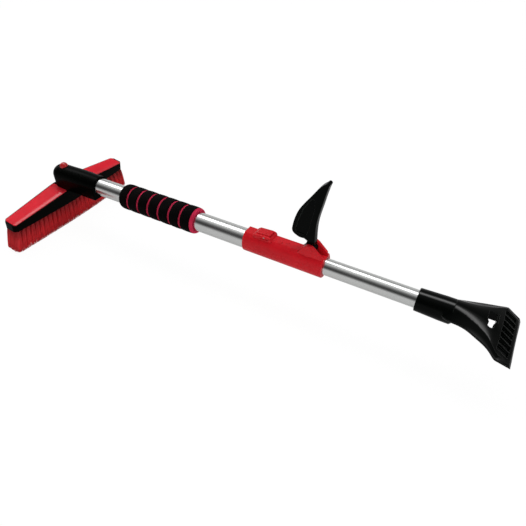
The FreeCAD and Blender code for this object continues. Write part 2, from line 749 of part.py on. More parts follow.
# ---- grip ----------------------------------------------------------------------------------------
def grip_core():
    """Red foam sleeve whose colour shows in the grooves between the black bands and at its rim."""
    rim_start = GRIP_START + (GRIP_BAND_COUNT - 1) * GRIP_BAND_PITCH + GRIP_BAND_LENGTH
    end = rim_start + GRIP_RIM_LENGTH
    sleeve = rod(GRIP_CORE_R, GRIP_START + GRIP_NOSE_LENGTH + FIT_GAP, end)
    rim = rod(GRIP_RIM_R, rim_start, end)
    body = sleeve.fuse(rim).removeSplitter()
    body = rounded(body, GRIP_RIM_EDGE_R, lambda middle, direction: abs(middle.x - end) < 0.01)
    return body.cut(rod(OUTER_TUBE_R + FIT_GAP, GRIP_START - 5, end + 5))


def grip_bands():
    """Black foam bands. The first one closes the end of the grip with a rounded nose."""
    bands = []
    for index in range(GRIP_BAND_COUNT):
        start = GRIP_START + index * GRIP_BAND_PITCH
        band = rod(GRIP_BAND_R, start, start + GRIP_BAND_LENGTH)
        left_r = GRIP_NOSE_R if index == 0 else GRIP_EDGE_R
        band = rounded(band, left_r, lambda middle, direction: abs(middle.x - start) < 0.01)
        far_end = start + GRIP_BAND_LENGTH
        band = rounded(band, GRIP_EDGE_R, lambda middle, direction: abs(middle.x - far_end) < 0.01)
        core_start = start + GRIP_NOSE_LENGTH if index == 0 else start - 1
        tube = rod(OUTER_TUBE_R + FIT_GAP, start - 1, far_end + 1)
        bands.append(band.cut([rod(GRIP_CORE_R, core_start, far_end + 1), tube]))
    return bands


# ---- lock collar ---------------------------------------------------------------------------------
def collar_section():
    """Cross-section of the collar: flat deck, sloping shoulders, round sides and belly."""
    x = COLLAR_START
    shoulder_y, shoulder_z = COLLAR_SHOULDER
    side_y, side_z = COLLAR_FLANK
    deck_right = Vector(x, COLLAR_DECK_HALF, COLLAR_DECK_Z)
    deck_left = Vector(x, -COLLAR_DECK_HALF, COLLAR_DECK_Z)
    right = Vector(x, shoulder_y, shoulder_z)
    left = Vector(x, -shoulder_y, shoulder_z)
    flank_right = Vector(x, COLLAR_SIDE, 0)
    flank_left = Vector(x, -COLLAR_SIDE, 0)
    edges = [
        line(deck_left, deck_right),
        line(deck_right, right),
        arc(right, Vector(x, side_y, side_z), flank_right),
        arc(flank_right, Vector(x, 0, COLLAR_BOTTOM_Z), flank_left),
        arc(flank_left, Vector(x, -side_y, side_z), left),
        line(left, deck_left),
    ]
    return Part.Face(Part.Wire(edges))


def turret():
    """Raised seat around the rocker, with a shallow recess at each end of its cross pin."""
    body = side_plate(TURRET_OUTLINE, -TURRET_HALF_WIDTH, TURRET_HALF_WIDTH)
    body = rounded(body, TURRET_EDGE_R, lambda middle, direction: middle.z > 12 and abs(direction.y) < 0.01)
    for side in (-1, 1):
        floor = side * (TURRET_HALF_WIDTH - TURRET_RECESS_DEPTH)
        body = body.cut(side_plate(TURRET_RECESS, floor, side * (TURRET_HALF_WIDTH + 1)))
    return body


def ear(side):
    """One of the two ears that carry the lever pin. side is -1 or 1."""
    plate = side_plate(EAR_OUTLINE, side * EAR_INNER_Y, side * EAR_OUTER_Y)
    plate = rounded(plate, EAR_CORNER_R, lambda middle, direction: middle.z > 20 and abs(direction.y) > 0.99)
    boss_start = side * (EAR_OUTER_Y - 1)
    boss_end = side * (EAR_OUTER_Y + EAR_BOSS_HEIGHT)
    boss = cross_pin(EAR_BOSS_R, min(boss_start, boss_end), max(boss_start, boss_end), *LEVER_PIVOT)
    return plate.fuse(boss)


def collar_cuts():
    """Everything taken out of the collar: tube bores, rocker slot, lever slot, holes."""
    slot_outline = [
        (LEVER_SLOT_START, 60),
        (LEVER_SLOT_START, LEVER_FLOOR_Z),
        (LEVER_FLOOR_BREAK_X, LEVER_FLOOR_Z),
        (COLLAR_END + 1, LEVER_FLOOR_END_Z),
        (COLLAR_END + 1, 60),
    ]
    cuts = [
        rod(OUTER_TUBE_R + FIT_GAP, COLLAR_START - 5, COLLAR_BORE_STEP_X),
        rod(COLLAR_SMALL_BORE_R, COLLAR_BORE_STEP_X - 1, COLLAR_END + 5),
        block(ROCKER_SLOT, (-ROCKER_SLOT_HALF, ROCKER_SLOT_HALF), (TURRET_FLOOR_Z, 40)),
        post(LOCK_HOLE_R, 5, 20, LOCK_HOLE_X),
        cross_pin(ROCKER_PIN_R + FIT_GAP, -15, 15, *ROCKER_PIVOT),
        side_plate(slot_outline, -EAR_INNER_Y, EAR_INNER_Y),
        block(
            (SHOE_START - SHOE_GAP, SHOE_END + SHOE_GAP),
            (-SHOE_HALF_WIDTH - SHOE_GAP, SHOE_HALF_WIDTH + SHOE_GAP),
            (6, 20),
        ),
        cross_pin(LEVER_PIN_R + FIT_GAP, -LEVER_PIN_DEPTH, 20, *LEVER_PIVOT),
    ]
    for x in COLLAR_RIVET_X:
        cuts.append(post(RIVET_R + FIT_GAP, -30, -5, x))
    return cuts


def lock_collar():
    body = collar_section().extrude(Vector(COLLAR_END - COLLAR_START, 0, 0))
    body = rounded(body, COLLAR_EDGE_R, lambda middle, direction: abs(direction.x) < 0.01)
    body = body.fuse([turret(), ear(-1), ear(1)]).removeSplitter()
    bar_levels = (COLLAR_DECK_Z - 2.2, COLLAR_DECK_Z + DECK_BAR_HEIGHT)
    for start in DECK_BAR_Y:
        body = body.fuse(block(DECK_BAR_X, (start, start + DECK_BAR_WIDTH), bar_levels))
    return body.cut(collar_cuts()).removeSplitter()


def rivet(x, head_bottom, tip):
    """Low round-head rivet through a wall from below."""
    head = post(RIVET_HEAD_R, head_bottom, head_bottom + RIVET_HEAD_HEIGHT, x)
    head = rounded(head, RIVET_HEAD_EDGE_R, lambda middle, direction: abs(middle.z - head_bottom) < 0.01)
    return head.fuse(post(RIVET_R, head_bottom + 0.5, tip, x)).removeSplitter()


def collar_rivets():
    head_bottom = COLLAR_BOTTOM_Z - RIVET_HEAD_HEIGHT
    return [rivet(x, head_bottom, tip) for x, tip in zip(COLLAR_RIVET_X, COLLAR_RIVET_TIP_Z)]


# ---- rocker lock ---------------------------------------------------------------------------------
def rocker_button():
    """Red rocker: pressing its ribbed end lifts the lock pin at the other end."""
    body = side_plate(ROCKER_OUTLINE, -ROCKER_HALF_WIDTH, ROCKER_HALF_WIDTH)
    body = rounded(body, ROCKER_EDGE_R, lambda middle, direction: middle.z > 21 and abs(direction.y) < 0.01)
    ribs = [cross_pin(ROCKER_RIB_R, -ROCKER_RIB_HALF, ROCKER_RIB_HALF, x, z) for x, z in ROCKER_RIBS]
    cuts = [
        cross_pin(ROCKER_PIN_R + PIN_PLAY, -10, 10, *ROCKER_PIVOT),
        post(LOCK_PIN_R + FIT_GAP, 10, LOCK_PIN_TOP_Z + 0.1, LOCK_PIN_X),
        post(ROCKER_SPRING_SEAT_R, 10, ROCKER_SPRING_SEAT_Z, ROCKER_SPRING_X),
    ]
    return body.fuse(ribs).cut(cuts).removeSplitter()


def rocker_pin():
    half = TURRET_HALF_WIDTH - TURRET_RECESS_DEPTH
    return cross_pin(ROCKER_PIN_R, -half, half, *ROCKER_PIVOT)


def lock_pin():
    """Steel pin under the rocker that drops into the index holes of the inner tube."""
    pin = post(LOCK_PIN_R, LOCK_PIN_BOTTOM_Z, LOCK_PIN_TOP_Z, LOCK_PIN_X)
    edges = [edge for edge in pin.Edges if abs(edge.CenterOfMass.z - LOCK_PIN_BOTTOM_Z) < 0.01]
    return pin.makeChamfer(LOCK_PIN_CHAMFER, edges)


def rocker_spring():
    height = ROCKER_SPRING_TOP_Z - TURRET_FLOOR_Z - 2 * SPRING_WIRE_R
    spring = coil(ROCKER_SPRING_R, SPRING_WIRE_R, height, ROCKER_SPRING_TURNS)
    spring.translate(Vector(ROCKER_SPRING_X, 0, TURRET_FLOOR_Z + SPRING_WIRE_R + SPRING_END_PLAY))
    return spring


# ---- cam lever -----------------------------------------------------------------------------------
# Outline points as (x, z): the bulging back of the fin, its lower lobe, the spine and the panel.
LEVER_BACK = (
    (466.6, 121.4),
    (460.0, 115.2),
    (452.8, 104.8),
    (444.0, 91.6),
    (436.6, 80.3),
    (430.2, 64.5),
    (426.9, 48.5),
)
LEVER_LOBE = ((426.9, 48.5), (428.6, 41.0), (435.4, 37.2), (445.6, 36.8))
LEVER_SPINE = (
    (459.3, 30.0),
    (458.7, 48.9),
    (459.2, 61.3),
    (460.9, 73.5),
    (463.9, 87.7),
    (467.2, 103.9),
    (471.0, 119.4),
)
LEVER_PANEL = (
    (455, 102),
    (447, 91),
    (440.5, 79),
    (435.2, 63),
    (431.8, 49),
    (433.5, 43.5),
    (446, 41.5),
    (450, 50),
    (452, 66),
    (456, 84),
)


def at_side(x, z):
    return Vector(x, 0, z)


def lever_outline():
    """Closed edge list of the fin-shaped lever: back edge, lobe, stem and spine."""
    back = [at_side(x, z) for x, z in LEVER_BACK]
    lobe = [at_side(x, z) for x, z in LEVER_LOBE]
    spine = [at_side(x, z) for x, z in LEVER_SPINE]
    neck = [lobe[-1], at_side(449.0, 35.0), at_side(447.0, 26.0), at_side(457.0, 24.0), spine[0]]
    edges = [curve(back), curve(lobe, Vector(-0.2, 0, -1), Vector(1, 0, 0.1))]
    edges += [line(start, end) for start, end in zip(neck, neck[1:])]
    edges += [curve(spine), arc(spine[-1], at_side(470.2, 122.9), back[0])]
    return edges


def cam_lever():
    face = Part.Face(Part.Wire(lever_outline()))
    fin = face.extrude(Vector(0, 2 * LEVER_HALF_WIDTH, 0))
    fin.translate(Vector(0, -LEVER_HALF_WIDTH, 0))
    fin = rounded(fin, LEVER_EDGE_R, is_lever_rim)
    for side in (-1, 1):
        panel = side_plate(LEVER_PANEL, side * LEVER_WEB_HALF, side * (LEVER_HALF_WIDTH + 1))
        fin = fin.cut(rounded(panel, LEVER_PANEL_CORNER_R, lambda middle, direction: abs(direction.y) > 0.99))
    pivot_x, pivot_z = LEVER_PIVOT
    cam = cross_pin(CAM_R, -LEVER_HALF_WIDTH, LEVER_HALF_WIDTH, pivot_x + CAM_ECCENTRICITY, pivot_z)
    lever = fin.fuse(cam)
    return lever.cut(cross_pin(LEVER_PIN_R + PIN_PLAY, -10, 10, pivot_x, pivot_z)).removeSplitter()


def is_lever_rim(middle, direction):
    """Outline edges of the fin above the cam."""
    return abs(direction.y) < 0.01 and middle.z > 37.5


def lever_pin():
    """Headed pin driven in from the far side into a blind hole of the near ear."""
    pin_x, pin_z = LEVER_PIVOT
    seat = EAR_OUTER_Y + EAR_BOSS_HEIGHT + FIT_GAP
    top = seat + LEVER_PIN_HEAD_HEIGHT
    shaft = cross_pin(LEVER_PIN_R, -LEVER_PIN_DEPTH + FIT_GAP, seat + 0.5, pin_x, pin_z)
    head = cross_pin(LEVER_PIN_HEAD_R, seat, top, pin_x, pin_z)
    head = rounded(head, 0.8, lambda middle, direction: middle.y > top - 0.01)
    return shaft.fuse(head).removeSplitter()


def clamp_shoe():
    """Pad that the cam presses onto the inner tube."""
    pad = block(
        (SHOE_START, SHOE_END),
        (-SHOE_HALF_WIDTH, SHOE_HALF_WIDTH),
        (SHOE_BOTTOM_Z, SHOE_TOP_Z),
    )
    return pad.cut(rod(SHOE_ARC_R, SHOE_START - 5, SHOE_END + 5, 0, SHOE_LIFT))


# ---- ice scraper ---------------------------------------------------------------------------------
# Cross-sections of the fan: x, outer edge (half width, z), crest (half width, z), z of the middle
# of the top, height of the outer edge, z of the middle of the underside.
FAN_STATIONS = (
    (612.0, (13.4, 3.0), (8.0, 11.9), 14.4, 3.0, 8.0),
    (626.0, (15.0, 3.0), (8.8, 12.3), 15.0, 3.0, 9.0),
    (641.0, (20.6, 3.8), (9.6, 12.3), 14.5, 3.2, 9.8),
    (655.0, (23.9, 4.6), (13.2, 10.5), 12.9, 3.4, 8.8),
    (668.0, (29.5, 3.2), (18.8, 8.3), 10.9, 3.6, 7.0),
    (680.0, (35.2, 1.1), (27.0, 5.3), 8.0, 3.8, 4.2),
    (686.5, (39.8, -1.2), (33.6, 2.2), 4.9, 3.8, 1.0),
    (693.0, (44.0, -3.7), (39.2, -1.0), 1.0, 3.8, -3.8),
)


def station_section(x, edge, crest, top, depth, underside):
    """Closed cross-section of the scraper fan at x."""
    edge_y, edge_z = edge
    crest_y, crest_z = crest
    low_y = edge_y - 0.8
    low_z = edge_z - depth
    hollow_y = (edge_y + crest_y) / 2
    hollow_z = (edge_z + crest_z) / 2 - 0.4

    def at(y, z):
        return Vector(x, y, z)

    edges = [
        arc(at(-edge_y, edge_z), at(-hollow_y, hollow_z), at(-crest_y, crest_z)),
        arc(at(-crest_y, crest_z), at(0, top), at(crest_y, crest_z)),
        arc(at(crest_y, crest_z), at(hollow_y, hollow_z), at(edge_y, edge_z)),
        line(at(edge_y, edge_z), at(low_y, low_z)),
        arc(at(low_y, low_z), at(0, underside), at(-low_y, low_z)),
        line(at(-low_y, low_z), at(-edge_y, edge_z)),
    ]
    return Part.Wire(edges)


def scraper_fan():
    return Part.makeLoft([station_section(*station) for station in FAN_STATIONS], True, False)


def blade_section(x, half_width, edge_z, crest_y, top, depth):
    station = (x, (half_width, edge_z), (crest_y, (edge_z + top) / 2 + 0.2), top, depth, top - depth)
    return station_section(*station)


def scraper_blade():
    """Sloping front of the scraper, ending in a bevelled edge, with cut front corners."""
    last = station_section(*FAN_STATIONS[-1])
    tip = blade_section(BLADE_EDGE_X, BLADE_HALF_WIDTH, -12.4, 34.0, -11.5, 3.0)
    blade = Part.makeLoft([last, tip], True, True)
    bevel = [
        (BLADE_EDGE_X - 2.2, -8),
        (BLADE_EDGE_X - 2.2, -11.0),
        (BLADE_EDGE_X, -15.0),
        (BLADE_EDGE_X + 3, -15.0),
        (BLADE_EDGE_X + 3, -8),
    ]
    return blade.cut(side_plate(bevel, -60, 60))


def ridge_pockets():
    """Row of pockets across the front slope; the walls left between them are the ice ridges."""
    start_x, start_z = RIDGE_FLOOR_START
    end_x, end_z = RIDGE_FLOOR_END
    outline = [(start_x, 12), (start_x, start_z), (end_x, end_z), (end_x, 12)]
    pockets = []
    for index in range(RIDGE_COUNT):
        y = (index - (RIDGE_COUNT - 1) / 2) * RIDGE_PITCH
        pockets.append(side_plate(outline, y - RIDGE_HALF_WIDTH, y + RIDGE_HALF_WIDTH))
    return pockets


def hang_hole_plan(extra):
    """Plan outline of the hanging keyhole grown by extra: round end, neck and wide window."""
    round_end = post(HANG_HOLE_R + extra, -60, 60, HANG_HOLE_X, HANG_HOLE_Y)
    neck_y = HANG_HOLE_Y + 2.6
    flare = [
        (HANG_HOLE_X - HANG_NECK_HALF - extra, neck_y),
        (HANG_HOLE_X + HANG_NECK_HALF + extra, neck_y),
        (HANG_HOLE_X + HANG_WINDOW_HALF + extra, neck_y + 5.5),
        (HANG_HOLE_X + HANG_WINDOW_HALF + extra, HANG_WINDOW_END_Y + extra),
        (HANG_HOLE_X - HANG_WINDOW_HALF - extra, HANG_WINDOW_END_Y + extra),
        (HANG_HOLE_X - HANG_WINDOW_HALF - extra, neck_y + 5.5),
    ]
    return round_end.fuse(plan_plate(flare, -60, 60)).removeSplitter()


def scraper_head():
    profile = [
        (SOCKET_START, 0),
        (SOCKET_START, SOCKET_START_R - 0.6),
        (SOCKET_START + 0.6, SOCKET_START_R),
        (SOCKET_MID_X, SOCKET_MID_R),
        (SOCKET_END - 3, SOCKET_MID_R),
        (SOCKET_END, SOCKET_MID_R - 3),
        (SOCKET_END, 0),
    ]
    body = turned(profile).fuse([scraper_fan(), scraper_blade()])
    rim_block = block((665, 692), (-20, 20), (HANG_RIM_BOTTOM_Z, 6))
    rim = hang_hole_plan(HANG_RIM).common(rim_block)
    body = body.fuse(rim).removeSplitter()
    cuts = [rod(INNER_TUBE_R + FIT_GAP, SOCKET_START - 5, SOCKET_BORE_END), hang_hole_plan(0)]
    for x in SCRAPER_RIVET_X:
        cuts.append(post(RIVET_R + FIT_GAP, -30, -5, x))
        cuts.append(post(RIVET_HEAD_R + 0.1, -30, SCRAPER_RIVET_SEAT_Z, x))
    return body.cut(cuts + ridge_pockets()).removeSplitter()


def scraper_rivets():
    head_bottom = SCRAPER_RIVET_SEAT_Z - RIVET_HEAD_HEIGHT
    return [rivet(x, head_bottom, SCRAPER_RIVET_TIP_Z) for x in SCRAPER_RIVET_X]


# ---- all pieces ----------------------------------------------------------------------------------
def main():
    os.makedirs("parts", exist_ok=True)
    save("outer_tube", outer_tube())
    save("inner_tube", inner_tube())
    save("tube_glide", tube_glide())
    save("tube_bushing", tube_bushing())
    save("brush_block", brush_block())
    save("cover_near", wing_cover(-1))
    save("cover_far", wing_cover(1))
    save("bristle_tufts", *bristle_tufts())
    save("thrust_washer", thrust_washer())
    save("retaining_ring", retaining_ring())
    save("brush_button", brush_button())
    save("lock_crown", lock_crown())
    save("crown_screw", crown_screw())
    save("button_spring", button_spring())
    save("pivot_housing", pivot_housing())
    save("housing_screws", *housing_screws())
    save("grip_core", grip_core())
    save("grip_bands", *grip_bands())
    save("lock_collar", lock_collar())
    save("collar_rivets", *collar_rivets())
    save("rocker_button", rocker_button())
    save("rocker_pin", rocker_pin())
    save("lock_pin", lock_pin())
    save("rocker_spring", rocker_spring())
    save("cam_lever", cam_lever())
    save("lever_pin", lever_pin())
    save("clamp_shoe", clamp_shoe())
    save("scraper_head", scraper_head())
    save("scraper_rivets", *scraper_rivets())


main()
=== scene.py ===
import json
import math

import bpy
import numpy as np
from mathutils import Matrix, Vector, noise


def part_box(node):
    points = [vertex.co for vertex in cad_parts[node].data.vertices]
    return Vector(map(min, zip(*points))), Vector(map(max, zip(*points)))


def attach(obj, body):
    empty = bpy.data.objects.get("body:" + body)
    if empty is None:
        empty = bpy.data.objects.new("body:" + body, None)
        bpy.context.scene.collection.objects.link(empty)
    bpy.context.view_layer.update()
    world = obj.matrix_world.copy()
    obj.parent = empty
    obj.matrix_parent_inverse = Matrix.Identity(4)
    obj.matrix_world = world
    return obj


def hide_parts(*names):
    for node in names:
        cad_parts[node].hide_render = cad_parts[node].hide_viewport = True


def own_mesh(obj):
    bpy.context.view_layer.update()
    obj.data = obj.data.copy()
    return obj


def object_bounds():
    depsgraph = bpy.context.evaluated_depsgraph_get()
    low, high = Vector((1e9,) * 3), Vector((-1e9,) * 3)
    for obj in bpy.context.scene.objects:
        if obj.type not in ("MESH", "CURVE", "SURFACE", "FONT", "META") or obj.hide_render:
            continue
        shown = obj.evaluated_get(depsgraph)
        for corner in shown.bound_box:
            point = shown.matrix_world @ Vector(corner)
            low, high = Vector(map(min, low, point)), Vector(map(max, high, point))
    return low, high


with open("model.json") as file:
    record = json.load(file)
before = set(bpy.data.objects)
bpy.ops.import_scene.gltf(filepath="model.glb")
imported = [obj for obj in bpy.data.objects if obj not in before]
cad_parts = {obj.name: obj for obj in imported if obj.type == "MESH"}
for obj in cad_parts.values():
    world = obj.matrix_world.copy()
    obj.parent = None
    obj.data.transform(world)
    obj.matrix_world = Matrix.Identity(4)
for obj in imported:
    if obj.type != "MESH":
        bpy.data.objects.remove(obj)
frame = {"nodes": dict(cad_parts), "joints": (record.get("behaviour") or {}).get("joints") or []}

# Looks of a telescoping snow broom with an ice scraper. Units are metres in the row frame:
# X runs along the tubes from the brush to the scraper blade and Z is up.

cad_low, cad_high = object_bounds()
nodes = frame["nodes"]
joints = {joint["name"]: joint for joint in frame["joints"]}

MM = 0.001
WHITE = (1.0, 1.0, 1.0)


# ---- node helpers --------------------------------------------------------------------------------
def rgba(color):
    return (*color, 1.0)


def scaled(color, factor):
    return tuple(factor * part for part in color)


class Nodes:
    """The node tree of a material or a world, while it is put together."""

    def __init__(self, owner):
        owner.use_nodes = True
        self.tree = owner.node_tree
        self.tree.nodes.clear()

    def add(self, kind, **settings):
        node = self.tree.nodes.new(kind)
        for key, value in settings.items():
            setattr(node, key, value)
        return node

    def join(self, source, target):
        self.tree.links.new(source, target)

    def feed(self, value, target):
        if isinstance(value, bpy.types.NodeSocket):
            self.join(value, target)
        else:
            target.default_value = value

    def math(self, operation, first, second=0.0, third=0.0):
        node = self.add("ShaderNodeMath", operation=operation)
        for value, target in zip((first, second, third), node.inputs):
            self.feed(value, target)
        return node.outputs[0]

    def remap(self, value, low, high, to_low=0.0, to_high=1.0, **settings):
        node = self.add("ShaderNodeMapRange", **settings)
        self.join(value, node.inputs["Value"])
        ends = {"From Min": low, "From Max": high, "To Min": to_low, "To Max": to_high}
        for key, number in ends.items():
            node.inputs[key].default_value = number
        return node.outputs["Result"]

    def blend(self, factor, first, second):
        node = self.add("ShaderNodeMix", data_type="RGBA")
        self.feed(factor, node.inputs["Factor"])
        for value, target in ((first, node.inputs["A"]), (second, node.inputs["B"])):
            self.feed(value if isinstance(value, bpy.types.NodeSocket) else rgba(value), target)
        return node.outputs["Result"]

    def apart(self, vector):
        """The X, Y and Z of a vector."""
        node = self.add("ShaderNodeSeparateXYZ")
        self.join(vector, node.inputs[0])
        return node.outputs

    def lean(self, direction):
        """Angle of a direction about the X axis: 0 towards -Y and a quarter turn towards +Z."""
        parts = self.apart(direction)
        toward = self.math("MULTIPLY", parts["Y"], -1.0)
        return self.math("ARCTAN2", parts["Z"], toward)


class Look(Nodes):
    """A procedural material around one Principled shader."""

    def __init__(self, name):
        self.material = bpy.data.materials.new(name)
        super().__init__(self.material)
        self.shader = self.add("ShaderNodeBsdfPrincipled")
        self.surface = self.add("ShaderNodeOutputMaterial").inputs["Surface"]
        self.join(self.shader.outputs[0], self.surface)
        self.place = self.add("ShaderNodeTexCoord").outputs["Object"]
        self.normal = None

    def stretched(self, scale):
        node = self.add("ShaderNodeMapping")
        self.join(self.place, node.inputs["Vector"])
        node.inputs["Scale"].default_value = scale
        return node.outputs[0]

    def noise(self, scale, detail=4.0, rough=0.55, place=None, distortion=0.0):
        node = self.add("ShaderNodeTexNoise")
        self.join(place or self.place, node.inputs["Vector"])
        node.inputs["Scale"].default_value = scale
        node.inputs["Detail"].default_value = detail
        node.inputs["Roughness"].default_value = rough
        node.inputs["Distortion"].default_value = distortion
        return node.outputs["Fac"]

    def cells(self, scale):
        node = self.add("ShaderNodeTexVoronoi", feature="F1")
        self.join(self.place, node.inputs["Vector"])
        node.inputs["Scale"].default_value = scale
        return node.outputs["Distance"]

    def bump(self, height, depth, strength=1.0):
        node = self.add("ShaderNodeBump")
        node.inputs["Strength"].default_value = strength
        node.inputs["Distance"].default_value = depth
        self.join(height, node.inputs["Height"])
        if self.normal is not None:
            self.join(self.normal, node.inputs["Normal"])
        self.normal = node.outputs[0]
        self.join(self.normal, self.shader.inputs["Normal"])

    def bevel(self, radius):
        node = self.add("ShaderNodeBevel", samples=4)
        node.inputs["Radius"].default_value = radius
        return node.outputs[0]

    def soften(self, radius):
        """Rounds every hard edge a little, so that it catches light."""
        self.normal = self.bevel(radius)
        self.join(self.normal, self.shader.inputs["Normal"])

    def edge_mask(self, radius):
        """1 on edges that stand out, 0 on smooth faces."""
        dot = self.add("ShaderNodeVectorMath", operation="DOT_PRODUCT")
        self.join(self.bevel(radius), dot.inputs[0])
        self.join(self.add("ShaderNodeNewGeometry").outputs["Normal"], dot.inputs[1])
        return self.remap(dot.outputs["Value"], 0.98, 0.80)

    def leaning(self, degrees, width):
        """1 on faces whose normal leans by degrees from -Y up to +Z, 0 beyond width on either side."""
        angle = self.lean(self.add("ShaderNodeNewGeometry").outputs["Normal"])
        off = self.math("ABSOLUTE", self.math("SUBTRACT", angle, math.radians(degrees)))
        return self.remap(off, math.radians(width), 0.0)

    def scratches(self, scale, width, seed=0.0):
        """Thin wandering lines, 1 on a line."""
        node = self.add("ShaderNodeMapping")
        self.join(self.place, node.inputs["Vector"])
        node.inputs["Location"].default_value = (seed, seed * 0.7, seed * 1.3)
        node.inputs["Rotation"].default_value = (0.4 + seed, 0.9, 0.3 + seed)
        node.inputs["Scale"].default_value = (1.0, 0.12, 1.0)
        field = self.noise(scale, 2.0, 0.5, node.outputs[0], 0.6)
        distance = self.math("ABSOLUTE", self.math("SUBTRACT", field, 0.5))
        return self.remap(distance, width, 0.0)

    def glow(self, level):
        node = self.add("ShaderNodeEmission")
        node.inputs["Strength"].default_value = level
        return node.outputs[0]

    def mixed(self, factor, first, second):
        """A mix of two shaders."""
        node = self.add("ShaderNodeMixShader")
        for value, target in zip((factor, first, second), node.inputs):
            self.join(value, target)
        return node.outputs[0]

    def set(self, **values):
        names = {
            "color": "Base Color",
            "rough": "Roughness",
            "metal": "Metallic",
            "specular": "Specular IOR Level",
            "aniso": "Anisotropic",
        }
        for key, value in values.items():
            self.feed(value, self.shader.inputs[names[key]])


# ---- materials -----------------------------------------------------------------------------------
def moulded(name, color, light, rough, grain, depth, specular=0.5, edge_rub_and_highlight=0.25, edge=0.35):
    """Moulded plastic: uneven colour, fine surface grain, handling scratches and lightened edges:
    rubbed edges, and on the lever and scraper a painted highlight along edges and crests.

    depth is the depth of the grain and edge the radius of the softened edges, both in millimetres.
    """
    look = Look(name)
    look.soften(edge * MM)
    tone = look.remap(look.noise(38.0, 5.0, 0.6), 0.3, 0.7)
    body = look.blend(tone, scaled(color, 0.82), color)
    # Light edge colour on a mask of standing-out edges: rubbing on most parts, and on the lever and scraper
    # a painted highlight along edges and crests.
    rub_and_highlight = look.math("MULTIPLY", look.edge_mask(0.7 * MM), look.noise(420.0, 3.0, 0.6))
    body = look.blend(look.math("MULTIPLY", rub_and_highlight, edge_rub_and_highlight), body, light)
    line = look.math("MAXIMUM", look.scratches(26.0, 0.004), look.scratches(43.0, 0.003, 0.8))
    patch = look.remap(look.noise(16.0, 2.0), 0.45, 0.62)
    line = look.math("MULTIPLY", line, patch)
    smear = look.remap(look.noise(60.0, 4.0, 0.7), 0.3, 0.75, rough * 0.8, rough * 1.25)
    look.bump(look.noise(grain, 3.0, 0.6), depth * MM, 0.6)
    look.bump(line, -0.012 * MM, 0.5)
    level = look.math("ADD", smear, look.math("MULTIPLY", line, 0.12))
    look.set(color=body, rough=level, specular=specular)
    return look


COVER_INNER_Y = 0.030
COVER_OUTER_Y = 0.105
COVER_ROLL_DEPTH = 1.1 * MM


def crowned_cover(look):
    """Rolls the long edges of the two covers over, as on a moulded cap, and raises the specular level along
    their front edges as a painted highlight.
    """
    place = look.apart(look.place)
    along = look.math("ABSOLUTE", place["Y"])
    inner, outer = cover_edges(COVER_INNER_Y), cover_edges(COVER_OUTER_Y)
    low = look.remap(along, COVER_INNER_Y, COVER_OUTER_Y, inner[0], outer[0])
    high = look.remap(along, COVER_INNER_Y, COVER_OUTER_Y, inner[1], outer[1])
    middle = look.math("MULTIPLY", look.math("ADD", low, high), 0.5)
    half = look.math("MULTIPLY", look.math("SUBTRACT", high, low), 0.5)
    away = look.math("ABSOLUTE", look.math("SUBTRACT", place["X"], middle))
    share = look.math("DIVIDE", away, half)
    rise = look.remap(share, 0.55, 1.0)
    look.bump(look.math("MULTIPLY", rise, rise), -COVER_ROLL_DEPTH)
    # Painted highlight: the specular level is raised only along the front edge of each cover.
    front = look.math("GREATER_THAN", place["X"], middle)
    front_edge_highlight = look.math("MULTIPLY", front, look.remap(share, 0.50, 0.85, 0.0, 0.55))
    look.set(specular=look.math("ADD", front_edge_highlight, 0.02))


def cover_edges(distance):
    """Lowest and highest X of the near cover at a distance from the middle of the head."""
    mesh = nodes["cover_near"].data
    crossings = [v.co.x for v in mesh.vertices if abs(v.co.y + distance) < 0.1 * MM]
    for edge in mesh.edges:
        p, q = (mesh.vertices[number].co for number in edge.vertices)
        if (p.y + distance) * (q.y + distance) < 0:
            share = (-distance - p.y) / (q.y - p.y)
            crossings.append(p.x + share * (q.x - p.x))
    return min(crossings), max(crossings)


def drawn_metal(name, color, rough):
    """Polished tube: drawing lines along X, faint smears and a few fine scratches."""
    look = Look(name)
    lines = look.noise(1.0, 6.0, 0.7, look.stretched((6.0, 900.0, 900.0)))
    smear = look.noise(24.0, 4.0, 0.6)
    body = look.blend(look.remap(smear, 0.3, 0.7), scaled(color, 0.93), color)
    level = look.remap(smear, 0.3, 0.75, rough * 0.8, rough * 1.3)
    level = look.math("ADD", level, look.math("MULTIPLY", lines, rough * 0.35))
    look.bump(lines, 0.004 * MM, 0.35)
    look.bump(look.scratches(60.0, 0.004, 0.3), -0.004 * MM, 0.4)
    look.set(color=body, rough=level, metal=1.0, aniso=0.3)
    return look


def plated_steel(name, color, rough):
    """Dull plated steel with a fine spotted finish."""
    look = Look(name)
    look.soften(0.15 * MM)
    spots = look.noise(700.0, 4.0, 0.7)
    body = look.blend(look.remap(spots, 0.35, 0.7), scaled(color, 0.7), color)
    look.bump(spots, 0.01 * MM, 0.5)
    look.set(color=body, rough=look.remap(spots, 0.3, 0.8, rough * 0.7, rough * 1.4), metal=1.0)
    return look


def foam(name, color, light, specular):
    """Closed-cell foam: tiny pores in a soft and lumpy skin."""
    look = Look(name)
    pit = look.remap(look.cells(1500.0), 0.0, 0.45)
    tone = look.remap(look.noise(55.0, 4.0, 0.6), 0.3, 0.7)
    # The pores are also darker in colour: painted shade in the pits.
    body = look.blend(pit, scaled(color, 0.45), look.blend(tone, color, light))
    look.bump(pit, 0.12 * MM, 0.55)
    look.bump(look.noise(260.0, 4.0, 0.65), 0.25 * MM, 0.5)
    look.set(color=body, rough=0.80, specular=specular)
    return look


